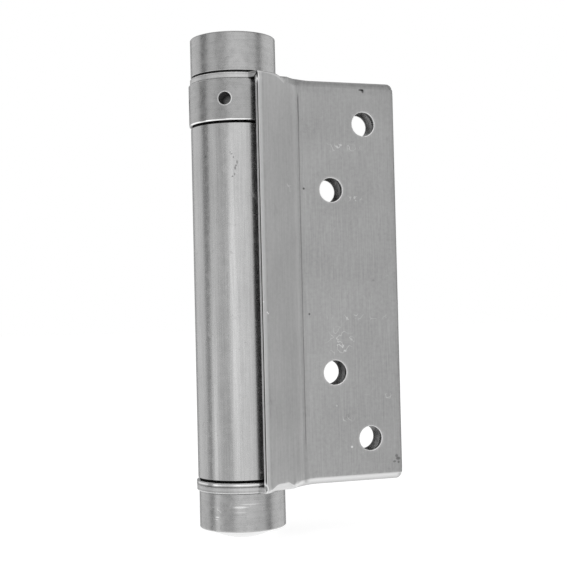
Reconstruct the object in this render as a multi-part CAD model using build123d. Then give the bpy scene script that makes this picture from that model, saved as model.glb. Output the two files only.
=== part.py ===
from build123d import *
import math
import os

# Single-action spring hinge, closed, standing upright. Millimetres, +Z up along the pin.
# Sub-parts are drawn about the pin axis, at half the leaf height, with the leaves towards +X
# and the outer side of the frame leaf towards -Y. The origin of the finished part is the middle
# of the frame leaf's outer face, between its screw holes, which is where the frame holds it.

# Sheet and leaves
SHEET = 1.5
LEAF_H = 100.0
LEAF_REACH = 40.5           # pin axis to the free edge of each leaf
LEAF_GAP = 2.5              # between the facing sides of the closed leaves
FRAME_FACE = 6.5            # pin axis to the plane of the frame leaf's outer face
CORNER_R = 1.6
EDGE_ROLL = 0.45            # rounding that shearing leaves along the outer edges
HOLE_R = 3.0
SINK_R = 4.2                # countersink radius on the facing sides
SINK_DEPTH = 1.2
HOLE_OUTER_X = 31.95
HOLE_OUTER_Z = 39.5
HOLE_INNER_X = 22.85
HOLE_INNER_Z = 22.75

# Frame leaf: slanted web and the two ears bent over from it
WEB_ANGLE = 30.1
WEB_CLEAR = 0.24            # running gap between the collar and the web
WEB_LIP = 5.03              # web beyond its nearest point to the pin
FRAME_BEND_R = 5.0
EAR_BEND_R = 0.5
NECK_END = 5.8              # far side of the ear's neck along the web
UPPER_EAR_R = 10.76
LOWER_EAR_R = 11.1
UPPER_EAR_RISE = 0.7        # outer side of the ear beyond the end of the leaf
LOWER_EAR_RISE = 0.5

# Door leaf: sheet rolled into the barrel
BARREL_R = 10.75
DOOR_WEB_AZIMUTH = 44.0     # where the web leaves the barrel
DOOR_BEND_R = 3.0
SEAM_GAP = 0.5
NOTCH_CLEAR = 0.6           # between the notched leaf and the turning collar

# Spindle and caps
SPINDLE_R = 4.0
HEAD_R = 9.2
HEAD_H = 2.7
CAP_R = 10.56
TOP_CAP_H = 9.75
BOTTOM_CAP_H = 9.15
CAP_EDGE = 0.3
CAP_SEAT_DEPTH = 6.5        # spindle's seat in the top cap
SEAT_END_GAP = 0.2

# Tension collar
COLLAR_R = 11.15
COLLAR_H = 10.2
COLLAR_PLAY = 0.2
COLLAR_EDGE = 0.35
SPIGOT_L = 12.0
BAR_HOLES = 5
BAR_HOLE_R = 1.55
BAR_HOLE_DEPTH = 5.0
BAR_HOLE_DROP = 4.9         # below the collar's top
BAR_HOLE_AZIMUTH = -118.3

# Bushes and thrust ring
RING_R = 11.13
RING_H = 1.1
RING_EDGE = 0.3
BUSH_FLANGE = 0.5
BUSH_FLANGE_R = 10.35
BUSH_WALL = 0.95
UPPER_SLEEVE_WALL = 0.8
UPPER_SLEEVE_L = 10.0
LOWER_SLEEVE_L = 10.8

# Anchor plug and its cross pin
PLUG_H = 12.0
PIN_R = 1.5
PIN_AZIMUTH = 100.0
PIN_SINK = 0.15             # below the barrel's surface
PIN_INNER_R = 6.2
PIN_HOLE_END = 0.2

# Torsion spring of square-edged wire
COIL_R = 7.0                # middle of the wire
WIRE_W = 2.4                # across, away from the pin
WIRE_H = 3.0                # along the pin
COIL_GAP = 0.3
TANG_L = 6.0
TANG_SPREAD = 0.05          # the bend widens the wire
TANG_CLEAR = 0.15
SPRING_END_GAP = 0.3
TANG_AZIMUTH = -60.0        # lower tang

# Fits
RUN = 0.05                  # radial, between pieces that turn on each other
PRESS = 0.02                # radial, between pieces that are fixed together
FLAT_PLAY = 0.1             # along the pin, between faces that turn on each other

# Worked out from the sizes above
PIN_X = -(HOLE_OUTER_X + HOLE_INNER_X) / 2
PIN_Y = FRAME_FACE
HALF = LEAF_H / 2
WEB_IN = COLLAR_R + WEB_CLEAR
WEB_OUT = WEB_IN + SHEET
BORE_R = BARREL_R - SHEET
DOOR_FACE = FRAME_FACE - 2 * SHEET - LEAF_GAP

UPPER_EAR_IN = HALF + UPPER_EAR_RISE - SHEET
LOWER_EAR_IN = -(HALF + LOWER_EAR_RISE - SHEET)
COLLAR_TOP = UPPER_EAR_IN - COLLAR_PLAY
COLLAR_BASE = COLLAR_TOP - COLLAR_H
SPIGOT_END = COLLAR_BASE - SPIGOT_L
BARREL_TOP = COLLAR_BASE - FLAT_PLAY - BUSH_FLANGE
RING_TOP = LOWER_EAR_IN + RING_H
BARREL_BASE = RING_TOP + FLAT_PLAY + BUSH_FLANGE
PLUG_TOP = BARREL_BASE + PLUG_H
UPPER_EAR_OUT = UPPER_EAR_IN + SHEET
LOWER_EAR_OUT = LOWER_EAR_IN - SHEET
HEAD_SEAT = LOWER_EAR_OUT - BOTTOM_CAP_H

LINED_BORE_R = SPINDLE_R + RUN + BUSH_WALL + PRESS
SLEEVE_OUT_R = BORE_R - PRESS
SLEEVE_IN_R = SLEEVE_OUT_R - UPPER_SLEEVE_WALL
SPIGOT_R = SLEEVE_IN_R - RUN

SPRING_BASE = PLUG_TOP + SPRING_END_GAP
SPRING_TOP = SPIGOT_END - SPRING_END_GAP
COIL_RISE = SPRING_TOP - SPRING_BASE - WIRE_H
COIL_PITCH = WIRE_H + COIL_GAP
UPPER_TANG_AZIMUTH = TANG_AZIMUTH + 360 * COIL_RISE / COIL_PITCH

ON_BASE = (Align.CENTER, Align.CENTER, Align.MIN)


def tube(outer, inner, base, height):
    """Plain ring about the pin axis."""
    body = Cylinder(outer, height, align=ON_BASE) - Cylinder(inner, height, align=ON_BASE)
    return Pos(0, 0, base) * body


def disc(radius, base, height):
    """Plain cylinder about the pin axis."""
    return Pos(0, 0, base) * Cylinder(radius, height, align=ON_BASE)


def rim(body, radius, level):
    """Circular edges of a body at one radius and level."""
    circles = body.edges().filter_by(GeomType.CIRCLE)
    near = [e for e in circles if abs(e.center().Z - level) < 0.01 and abs(e.radius - radius) < 0.01]
    return near


def line_crossing(distance, azimuth, level_y):
    """Where a line at a distance from the pin, square to an azimuth, meets a level in Y."""
    a = math.radians(azimuth)
    return ((distance - level_y * math.sin(a)) / math.cos(a), level_y)


def on_line(distance, azimuth, along):
    """Point on such a line, measured along it from its nearest point to the pin."""
    a = math.radians(azimuth)
    x = distance * math.cos(a) - along * math.sin(a)
    y = distance * math.sin(a) + along * math.cos(a)
    return (x, y)


def screw_holes(facing_y, turn):
    """Four countersunk holes, widest on the leaf's facing side."""
    sink = Cone(SINK_R, HOLE_R, SINK_DEPTH, align=ON_BASE)
    hole = sink + Cylinder(HOLE_R, 2 * SHEET, align=ON_BASE)
    spots = []
    for side in (1, -1):
        spots.append((HOLE_OUTER_X, side * HOLE_OUTER_Z))
        spots.append((HOLE_INNER_X, side * HOLE_INNER_Z))
    cut = [Pos(x, facing_y, z) * Rot(turn, 0, 0) * hole for x, z in spots]
    return cut


def free_corners(leaf):
    """The two short edges at the free corners of a leaf."""
    return leaf.edges().filter_by(Axis.Y).group_by(Axis.X)[-1]


def frame_sheet():
    """Flange and slanted web of the frame leaf, as bent sheet with its outer edges rolled."""
    web_azimuth = WEB_ANGLE - 90
    outer = -FRAME_FACE
    inner = outer + SHEET
    profile = [
        on_line(WEB_OUT, web_azimuth, -WEB_LIP),
        line_crossing(WEB_OUT, web_azimuth, outer),
        (LEAF_REACH, outer),
        (LEAF_REACH, inner),
        line_crossing(WEB_IN, web_azimuth, inner),
        on_line(WEB_IN, web_azimuth, -WEB_LIP),
    ]
    radii = [0, FRAME_BEND_R, 0, 0, FRAME_BEND_R + SHEET, 0]
    face = make_face(FilletPolyline(*profile, radius=radii, close=True))
    sheet = Pos(0, 0, -HALF) * extrude(face, LEAF_H, dir=(0, 0, 1))
    sheet = fillet(free_corners(sheet), CORNER_R)
    flat = sheet.faces().filter_by(Axis.Y).sort_by(Axis.Y)[0]
    rolled = [e for e in flat.edges() if e.center().X > HOLE_INNER_X - HOLE_R]
    rolled = [e for e in rolled if e.length > CORNER_R / 2]
    return fillet(rolled, EDGE_ROLL)


def ear(radius, rise):
    """Upper ear, drawn with the web along X: neck bent over from the web, and the round end."""
    out = HALF + rise
    bend_out = EAR_BEND_R + SHEET
    bend_y = -(WEB_OUT - bend_out)
    bend_z = out - bend_out
    width = WEB_LIP + NECK_END
    middle = (NECK_END - WEB_LIP) / 2
    flat = Pos(middle, bend_y / 2) * Rectangle(width, -bend_y)
    flat = extrude(flat + Circle(radius), SHEET, dir=(0, 0, 1))
    flat = Pos(0, 0, out - SHEET) * flat
    ring = Cylinder(bend_out, width) - Cylinder(EAR_BEND_R, width)
    ring = Pos(middle, bend_y, bend_z) * Rot(0, 90, 0) * ring
    quarter = Box(width, bend_out, bend_out, align=(Align.CENTER, Align.MAX, Align.MIN))
    bend = ring & (Pos(middle, bend_y, bend_z) * quarter)
    return flat + bend


def neck_cut(rise):
    """Room for the neck, where the web stops short and bends into the ear."""
    base = HALF + rise - EAR_BEND_R - SHEET
    width = NECK_END + 2 * WEB_LIP
    room = Box(width, 3 * SHEET, SHEET + EAR_BEND_R + rise, align=(Align.MAX, Align.CENTER, Align.MIN))
    return Pos(NECK_END, -(WEB_IN + WEB_OUT) / 2, base) * room


def frame_leaf():
    turn = Rot(0, 0, WEB_ANGLE)
    body = frame_sheet()
    body -= turn * neck_cut(UPPER_EAR_RISE)
    body -= turn * mirror(neck_cut(LOWER_EAR_RISE), about=Plane.XY)
    body += turn * ear(UPPER_EAR_R, UPPER_EAR_RISE)
    body += turn * mirror(ear(LOWER_EAR_R, LOWER_EAR_RISE), about=Plane.XY)
    body -= Cylinder(SPINDLE_R + PRESS, 2 * LEAF_H)
    body -= screw_holes(SHEET - FRAME_FACE, 90)
    return body


def door_leaf():
    """Sheet rolled about the pin, its web tangent to the barrel, and the flat that takes screws."""
    outer = -DOOR_FACE
    inner = outer - SHEET
    seam = DOOR_WEB_AZIMUTH - math.degrees(math.acos((BORE_R - SEAM_GAP) / BARREL_R))
    sweep_angle = 360 + seam - DOOR_WEB_AZIMUTH
    inside = CenterArc((0, 0), BORE_R, DOOR_WEB_AZIMUTH, sweep_angle)
    outside = CenterArc((0, 0), BARREL_R, DOOR_WEB_AZIMUTH, sweep_angle)
    roll = make_face([inside, Line(inside @ 1, outside @ 1), outside, Line(outside @ 0, inside @ 0)])

    notch = math.sqrt((COLLAR_R + NOTCH_CLEAR) ** 2 - BORE_R ** 2)
    web = Polygon(
        on_line(BORE_R, DOOR_WEB_AZIMUTH, 0),
        on_line(BORE_R, DOOR_WEB_AZIMUTH, -notch),
        on_line(BARREL_R, DOOR_WEB_AZIMUTH, -notch),
        on_line(BARREL_R, DOOR_WEB_AZIMUTH, 0),
        align=None,
    )
    profile = [
        on_line(BORE_R, DOOR_WEB_AZIMUTH, -notch),
        line_crossing(BORE_R, DOOR_WEB_AZIMUTH, inner),
        (LEAF_REACH, inner),
        (LEAF_REACH, outer),
        line_crossing(BARREL_R, DOOR_WEB_AZIMUTH, outer),
        on_line(BARREL_R, DOOR_WEB_AZIMUTH, -notch),
    ]
    radii = [0, DOOR_BEND_R + SHEET, 0, 0, DOOR_BEND_R, 0]
    flat = make_face(FilletPolyline(*profile, radius=radii, close=True))
    leaf = Pos(0, 0, -HALF) * extrude(flat, LEAF_H, dir=(0, 0, 1))
    leaf = fillet(free_corners(leaf), CORNER_R)

    barrel_h = BARREL_TOP - BARREL_BASE
    barrel = extrude(roll, barrel_h, dir=(0, 0, 1)) + extrude(web, barrel_h, dir=(0, 0, 1))
    body = leaf + Pos(0, 0, BARREL_BASE) * barrel
    body -= screw_holes(inner, -90)
    body -= anchor_pin(PRESS)
    return body


def spindle():
    """Shank and shallow domed head, turned in one piece."""
    end = UPPER_EAR_OUT + CAP_SEAT_DEPTH - SEAT_END_GAP
    ball_r = (HEAD_R ** 2 + HEAD_H ** 2) / (2 * HEAD_H)
    dome = Sphere(ball_r) & disc(HEAD_R, -ball_r, HEAD_H)
    head = Pos(0, 0, HEAD_SEAT + ball_r - HEAD_H) * dome
    shank = disc(SPINDLE_R, HEAD_SEAT, end - HEAD_SEAT)
    shank = chamfer(rim(shank, SPINDLE_R, end), CAP_EDGE)
    return head + shank


def top_cap():
    body = disc(CAP_R, UPPER_EAR_OUT, TOP_CAP_H)
    body = fillet(rim(body, CAP_R, UPPER_EAR_OUT + TOP_CAP_H), CAP_EDGE)
    body = chamfer(rim(body, CAP_R, UPPER_EAR_OUT), CAP_EDGE)
    return body - disc(SPINDLE_R + PRESS, UPPER_EAR_OUT, CAP_SEAT_DEPTH)


def bottom_cap():
    body = tube(CAP_R, SPINDLE_R + PRESS, HEAD_SEAT, BOTTOM_CAP_H)
    body = fillet(rim(body, CAP_R, HEAD_SEAT), CAP_EDGE)
    return chamfer(rim(body, CAP_R, LOWER_EAR_OUT), CAP_EDGE)


def thrust_ring():
    body = tube(RING_R, SPINDLE_R + PRESS, LOWER_EAR_IN, RING_H)
    body = fillet(rim(body, RING_R, RING_TOP), RING_EDGE)
    return chamfer(rim(body, RING_R, LOWER_EAR_IN), RING_EDGE / 2)


def tang_room(azimuth, base, height):
    """Slot for a tang of the spring, with clearance all round."""
    width = WIRE_W + 2 * (TANG_SPREAD + TANG_CLEAR)
    room = Box(width, WIRE_H + 2 * TANG_CLEAR, height, align=ON_BASE)
    return Rot(0, 0, azimuth) * Pos(COIL_R, 0, base) * room


def tension_collar():
    """Head with its bar holes, and the spigot that guides the barrel and winds the spring."""
    head = disc(COLLAR_R, COLLAR_BASE, COLLAR_H)
    head = fillet(rim(head, COLLAR_R, COLLAR_BASE), COLLAR_EDGE)
    head = chamfer(rim(head, COLLAR_R, COLLAR_TOP), COLLAR_PLAY)
    body = head + disc(SPIGOT_R, SPIGOT_END, SPIGOT_L)
    body -= disc(LINED_BORE_R, SPIGOT_END, COLLAR_TOP - SPIGOT_END)
    hole = Cylinder(BAR_HOLE_R, 2 * BAR_HOLE_DEPTH)
    hole = Pos(COLLAR_R, 0, COLLAR_TOP - BAR_HOLE_DROP) * Rot(0, 90, 0) * hole
    for i in range(BAR_HOLES):
        body -= Rot(0, 0, BAR_HOLE_AZIMUTH + i * 360 / BAR_HOLES) * hole
    slot = tang_room(UPPER_TANG_AZIMUTH, SPIGOT_END, TANG_L)
    widening = Rot(0, 0, UPPER_TANG_AZIMUTH) * Pos(COIL_R, 0, SPIGOT_END)
    widening *= Box(COIL_R, WIRE_H + 2 * TANG_CLEAR, TANG_L, align=(Align.MIN, Align.CENTER, Align.MIN))
    return body - slot - widening


def collar_bush():
    return tube(LINED_BORE_R - PRESS, SPINDLE_R + RUN, SPIGOT_END, COLLAR_TOP - SPIGOT_END)


def upper_bush():
    """Flanged lining of the barrel's mouth, round the collar's spigot."""
    flange = tube(BUSH_FLANGE_R, SLEEVE_IN_R, BARREL_TOP, BUSH_FLANGE)
    return flange + tube(SLEEVE_OUT_R, SLEEVE_IN_R, BARREL_TOP - UPPER_SLEEVE_L, UPPER_SLEEVE_L)


def lower_bush():
    """Flanged lining of the anchor plug, round the spindle."""
    flange = tube(BUSH_FLANGE_R, SPINDLE_R + RUN, BARREL_BASE - BUSH_FLANGE, BUSH_FLANGE)
    return flange + tube(LINED_BORE_R - PRESS, SPINDLE_R + RUN, BARREL_BASE, LOWER_SLEEVE_L)


def anchor_pin(spare):
    """Cross pin through the barrel into the plug, or its hole when spare is more than nothing."""
    start = PIN_INNER_R - (PIN_HOLE_END if spare else 0)
    end = BARREL_R + (SHEET if spare else -PIN_SINK)
    pin = Cylinder(PIN_R + spare, end - start, align=ON_BASE)
    level = BARREL_BASE + PLUG_H / 2
    return Rot(0, 0, PIN_AZIMUTH) * Pos(start, 0, level) * Rot(0, 90, 0) * pin


def anchor_plug():
    body = tube(BORE_R - PRESS, LINED_BORE_R, BARREL_BASE, PLUG_H)
    body -= tang_room(TANG_AZIMUTH, PLUG_TOP - TANG_L, TANG_L)
    return body - anchor_pin(PRESS)


def torsion_spring():
    """Close helix of rectangular wire with a straight tang along the pin at each end."""
    path = Helix(COIL_PITCH, COIL_RISE, COIL_R)
    section = Plane(origin=path @ 0, x_dir=(1, 0, 0), z_dir=path % 0) * Rectangle(WIRE_W, WIRE_H)
    coil = sweep(section, path=path, is_frenet=True)
    coil = Rot(0, 0, TANG_AZIMUTH) * Pos(0, 0, SPRING_BASE + WIRE_H / 2) * coil
    reach = TANG_L - SPRING_END_GAP + WIRE_H
    tang = Pos(COIL_R, 0, 0) * Box(WIRE_W + 2 * TANG_SPREAD, WIRE_H, reach, align=ON_BASE)
    lower = Rot(0, 0, TANG_AZIMUTH) * Pos(0, 0, SPRING_BASE + WIRE_H - reach) * tang
    upper = Rot(0, 0, UPPER_TANG_AZIMUTH) * Pos(0, 0, SPRING_TOP - WIRE_H) * tang
    return coil + lower + upper


NODES = {
    "frame_leaf": frame_leaf(),
    "door_leaf": door_leaf(),
    "spindle": spindle(),
    "top_cap": top_cap(),
    "bottom_cap": bottom_cap(),
    "thrust_ring": thrust_ring(),
    "tension_collar": tension_collar(),
    "collar_bush": collar_bush(),
    "upper_bush": upper_bush(),
    "lower_bush": lower_bush(),
    "anchor_plug": anchor_plug(),
    "anchor_pin": anchor_pin(0),
    "torsion_spring": torsion_spring(),
}

os.makedirs("parts", exist_ok=True)
for name, shape in NODES.items():
    export_step(Pos(PIN_X, PIN_Y, 0) * shape, f"parts/{name}.step")
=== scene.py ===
"""Looks of the spring hinge: satin sheet leaves, turned barrel ends and a plain white studio."""

import logging
import math
from dataclasses import dataclass, field
from enum import Enum

import bmesh
import bpy
import numpy as np
from mathutils import Matrix, Vector


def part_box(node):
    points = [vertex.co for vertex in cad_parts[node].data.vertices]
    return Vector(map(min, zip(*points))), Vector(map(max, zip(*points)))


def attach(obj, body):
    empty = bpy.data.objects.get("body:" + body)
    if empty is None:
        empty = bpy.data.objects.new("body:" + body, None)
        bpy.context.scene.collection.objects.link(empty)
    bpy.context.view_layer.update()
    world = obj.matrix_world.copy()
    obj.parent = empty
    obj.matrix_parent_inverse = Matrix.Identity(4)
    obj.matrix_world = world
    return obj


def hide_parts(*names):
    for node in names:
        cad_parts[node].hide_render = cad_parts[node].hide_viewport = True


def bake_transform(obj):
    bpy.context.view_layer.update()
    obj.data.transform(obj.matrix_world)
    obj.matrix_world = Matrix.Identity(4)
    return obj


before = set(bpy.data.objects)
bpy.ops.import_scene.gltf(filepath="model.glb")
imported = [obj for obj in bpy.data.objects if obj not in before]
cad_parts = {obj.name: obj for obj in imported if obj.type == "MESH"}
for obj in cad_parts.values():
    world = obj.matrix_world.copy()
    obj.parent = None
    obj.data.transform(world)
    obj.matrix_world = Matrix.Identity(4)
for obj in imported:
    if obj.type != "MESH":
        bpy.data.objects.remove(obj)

log = logging.getLogger("spring_hinge")

MM = 0.001
PIN = np.array((-0.0274, 0.0065, 0.0))
MERGE = 2e-6            # metres within which two points are the same
QUARTER = math.pi / 2

Tree = bpy.types.NodeTree
Source = bpy.types.NodeSocket | bpy.types.Node


class Grain(Enum):
    """The way the fine lines of a metal run."""

    ALONG_PIN = "along the pin, as rolled and belt-finished sheet"
    ROUND_PIN = "round the pin, as turned bar"
    NONE = "no direction"


def linear(hex_colour: str) -> tuple[float, float, float, float]:
    """Turns an sRGB hex colour into the linear colour that a shader socket takes.

    Args:
        hex_colour: Six hex digits, with or without a leading #.

    Returns:
        Linear red, green, blue and an alpha of 1.
    """
    digits = hex_colour.lstrip("#")
    parts = [int(digits[i:i + 2], 16) / 255 for i in (0, 2, 4)]
    curve = [c / 12.92 if c <= 0.04045 else ((c + 0.055) / 1.055) ** 2.4 for c in parts]
    return (curve[0], curve[1], curve[2], 1.0)


def add(tree: Tree, kind: str, settings: dict | None = None, links: dict | None = None) -> bpy.types.Node:
    """Adds a node with its settings and its links.

    Inputs go by name or number. Those of a Map Range are its value (0), the two values that it goes
    between (1 and 2), and what it gives at each (3 and 4).

    Args:
        tree: The node tree it goes into.
        kind: The node's type name, less the ShaderNode that it begins with.
        settings: Attribute names, or input names or numbers, with their values.
        links: Input names or numbers, with the output sockets that feed them, or nodes whose first
            output does.

    Returns:
        The new node.
    """
    made = tree.nodes.new("ShaderNode" + kind)
    for key, value in (settings or {}).items():
        if isinstance(key, str) and hasattr(made, key):
            setattr(made, key, value)
        else:
            made.inputs[key].default_value = value
    for key, source in (links or {}).items():
        socket = source.outputs[0] if isinstance(source, bpy.types.Node) else source
        tree.links.new(socket, made.inputs[key])
    return made


def bare_tree(owner: bpy.types.Material | bpy.types.World) -> Tree:
    """Switches on the nodes of a material or a world, and empties its node tree.

    Args:
        owner: The material or the world.

    Returns:
        Its node tree.
    """
    owner.use_nodes = True
    owner.node_tree.nodes.clear()
    return owner.node_tree


def placed(name: str, data: bpy.types.ID) -> bpy.types.Object:
    """Puts a mesh, a lamp or a camera into the scene.

    Args:
        name: The object's name.
        data: What the object shows.

    Returns:
        The new object.
    """
    made = bpy.data.objects.new(name, data)
    bpy.context.scene.collection.objects.link(made)
    return made


@dataclass(frozen=True)
class Spot:
    """A mark at one place: an ellipsoid with soft borders or, with a ring, a shell round that place."""

    at_mm: tuple[float, float, float]
    size_mm: tuple[float, float, float]
    amount: float = 1.0
    ring: float = 0.0


@dataclass(frozen=True)
class Steel:
    """A stainless steel surface: fine lines in one direction, cloudy patches, scuffs, scratches and pits.

    The lines of the real finish are about 0.05 mm apart. They are drawn `line_mm` apart, as coarse as
    they have to be to show in a picture where a millimetre is four pixels. The mesh attribute "wear" goes
    from -1 to 1: below 0 it mixes in a dark colour, for rough metal and for painted shade, and above 0 a
    bright one, for rubbed metal and for painted highlights. A mesh without it has none. `spots` add to it:
    marks, and painted highlights and shade. `scribbled` are patches with fine scratches. Bands of painted
    highlight or painted shade are given as level, half width and amount.
    """

    name: str
    light: str
    dark: str
    roughness: float
    grain: Grain
    line_mm: float = 0.35
    run_mm: float = 14.0
    cloud_mm: float = 1.6
    drift_mm: float = 14.0
    line_depth: float = 0.25
    line_tone: float = 0.45
    drift_tone: float = 0.25
    contrast: tuple[float, float] = (0.38, 0.62)
    scuff_amount: float = 0.3
    scuff_mm: float = 4.0
    rough_swing: float = 0.05
    polish_gain: float = 0.12
    scratch: float = 0.3
    scratch_mm: float = 11.0
    scribble_mm: float = 6.0
    pit_mm: float = 9.0
    # Colours mixed in above and below 0: rubbed metal and painted highlight, rough metal and painted shade.
    bright_metal_and_highlight: str = "#e4e4e4"
    dark_metal_and_shade: str = "#2c2c2c"
    # Painted light: bands of painted highlight or painted shade at given levels, and painted shade inside a
    # radius about the pin.
    painted_light_bands: tuple[tuple[float, float, float], ...] = ()
    band_fade_mm: float = 0.06
    painted_shade_within_mm: float = 0.0
    painted_shade_depth_mm: float = 1.6
    painted_shade_fade_mm: float = 0.05
    bump_mm: float = 0.04
    spots: tuple[Spot, ...] = ()
    scribbled: tuple[Spot, ...] = ()

    def patches(self, tree: Tree, at: Source, spots: tuple[Spot, ...], total: Source) -> Source:
        """Adds spots to a value: full within half of a spot's size, gone at its size.

        Args:
            tree: The material's node tree.
            at: Object coordinates.
            spots: The spots.
            total: The value that they add to.

        Returns:
            The value with the spots in it.
        """
        for spot in spots:
            middle, scale = [c * MM for c in spot.at_mm], [1000 / c for c in spot.size_mm]
            off = add(tree, "VectorMath", {"operation": "SUBTRACT", 1: middle}, {0: at})
            scaled = add(tree, "VectorMath", {"operation": "MULTIPLY", 1: scale}, {0: off})
            away = add(tree, "VectorMath", {"operation": "LENGTH"}, {0: scaled}).outputs["Value"]
            from_ring = add(tree, "Math", {"operation": "SUBTRACT", 1: spot.ring}, {0: away})
            either_side = add(tree, "Math", {"operation": "ABSOLUTE"}, {0: from_ring})
            mark = add(tree, "MapRange", {1: 0.5, 2: 1.0, 3: spot.amount, 4: 0.0}, {0: either_side})
            total = add(tree, "Math", {"operation": "ADD"}, {0: total, 1: mark})
        return total

    def wear_and_light(self, tree: Tree, at: Source) -> Source:
        """Gives the wear: the mesh's own, spots, bands of painted highlight or shade at given levels, painted
        shade inside a radius.

        Args:
            tree: The material's node tree.
            at: Object coordinates.

        Returns:
            The wear, from -1 for rough dark metal and painted shade to 1 for rubbed metal and painted
            highlight.
        """
        total = add(tree, "Attribute", {"attribute_name": "wear_and_light"}).outputs["Fac"]
        total = self.patches(tree, at, self.spots, total)
        height = add(tree, "SeparateXYZ", None, {0: at}).outputs["Z"]
        # Bands of painted highlight or painted shade at given levels.
        for level, half_width, amount in self.painted_light_bands:
            off = add(tree, "Math", {"operation": "SUBTRACT", 1: level * MM}, {0: height})
            either_side = add(tree, "Math", {"operation": "ABSOLUTE"}, {0: off})
            full, gone = half_width * MM, (half_width + self.band_fade_mm) * MM
            band = add(tree, "MapRange", {1: full, 2: gone, 3: amount, 4: 0.0}, {0: either_side})
            total = add(tree, "Math", {"operation": "ADD"}, {0: total, 1: band})
        # Painted shade inside a radius about the pin, darkest deepest in, for the insides of holes.
        if self.painted_shade_within_mm:
            edge = self.painted_shade_within_mm * MM
            centred = add(tree, "VectorMath", {"operation": "SUBTRACT", 1: tuple(PIN)}, {0: at})
            level = add(tree, "VectorMath", {"operation": "MULTIPLY", 1: (1.0, 1.0, 0.0)}, {0: centred})
            radius = add(tree, "VectorMath", {"operation": "LENGTH"}, {0: level}).outputs["Value"]
            floor, rim = edge - self.painted_shade_depth_mm * MM, edge + self.painted_shade_fade_mm * MM
            deep = add(tree, "MapRange", {1: floor, 2: edge, 3: -1.0, 4: -0.35}, {0: radius})
            inside = add(tree, "MapRange", {1: edge, 2: rim, 3: 1.0, 4: 0.0}, {0: radius})
            held = add(tree, "Math", {"operation": "MULTIPLY"}, {0: deep, 1: inside})
            total = add(tree, "Math", {"operation": "ADD"}, {0: total, 1: held})
        return total

    def marks(self, tree: Tree, at: Source) -> tuple[Source, Source]:
        """Gives handling marks, 1 where there is one: bright hairlines, and small dark pits.

        Hairlines are the contour lines of a slow noise, which pingpong finds, kept where another noise
        is high. Those of that other noise fill the scribbled patches. Pits are the middles of a few cells.

        Args:
            tree: The material's node tree.
            at: Object coordinates.

        Returns:
            The hairlines and the pits.
        """
        slow = add(tree, "TexNoise", {"Scale": 1000 / self.scratch_mm, "Detail": 1.5, "Distortion": 1.1},
                   {"Vector": at})
        folded = add(tree, "Math", {"operation": "PINGPONG", 1: 0.045}, {0: slow})
        hair = add(tree, "MapRange", {1: 0.0004, 2: 0.0024, 3: 1.0, 4: 0.0}, {0: folded})
        area = add(tree, "TexNoise", {"Scale": 1000 / self.scribble_mm, "Detail": 3.0}, {"Vector": at})
        kept = add(tree, "MapRange", {1: 0.6, 2: 0.7, 3: 0.0, 4: 0.7}, {0: area})
        long_hairs = add(tree, "Math", {"operation": "MULTIPLY"}, {0: hair, 1: kept})
        crossed = add(tree, "Math", {"operation": "PINGPONG", 1: 0.06}, {0: area})
        short = add(tree, "MapRange", {1: 0.002, 2: 0.008, 3: 1.5, 4: 0.0}, {0: crossed})
        nowhere = add(tree, "Value")
        scribbles = add(tree, "Math", {"operation": "MULTIPLY"},
                        {0: short, 1: self.patches(tree, at, self.scribbled, nowhere)})
        hairs = add(tree, "Math", {"operation": "MAXIMUM"}, {0: long_hairs, 1: scribbles})
        cells = add(tree, "TexVoronoi", {"Scale": 1000 / self.pit_mm}, {"Vector": at})
        pit = add(tree, "MapRange", {1: 0.02, 2: 0.04, 3: 1.0, 4: 0.0}, {0: cells.outputs["Distance"]})
        chosen = add(tree, "SeparateColor", None, {0: cells.outputs["Color"]})
        few = add(tree, "MapRange", {1: 0.75, 2: 0.76, 3: 0.0, 4: 1.0}, {0: chosen})
        return hairs, add(tree, "Math", {"operation": "MULTIPLY"}, {0: pit, 1: few})

    def tone(self, tree: Tree, at: Source, lines: Source, clouds: Source) -> Source:
        """Gives the colour before wear: lines, clouds and a slow drift choose between dark and light.

        Args:
            tree: The material's node tree.
            at: Object coordinates.
            lines: The noise of the fine lines.
            clouds: The noise of the clouds.

        Returns:
            The colour.
        """
        drift = add(tree, "TexNoise", {"Scale": 1000 / self.drift_mm, "Detail": 2.0}, {"Vector": at})
        line_part = add(tree, "Math", {"operation": "MULTIPLY", 1: self.line_tone}, {0: lines})
        cloud_tone = 1 - self.drift_tone - self.line_tone
        cloud_part = add(tree, "Math", {"operation": "MULTIPLY_ADD", 1: cloud_tone},
                         {0: clouds, 2: line_part})
        mixed = add(tree, "Math", {"operation": "MULTIPLY_ADD", 1: self.drift_tone},
                    {0: drift, 2: cloud_part})
        made = add(tree, "ValToRGB", None, {"Fac": mixed})
        for stop, place, colour in zip(made.color_ramp.elements, self.contrast, (self.dark, self.light)):
            stop.position = place
            stop.color = linear(colour)
        return made

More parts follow.
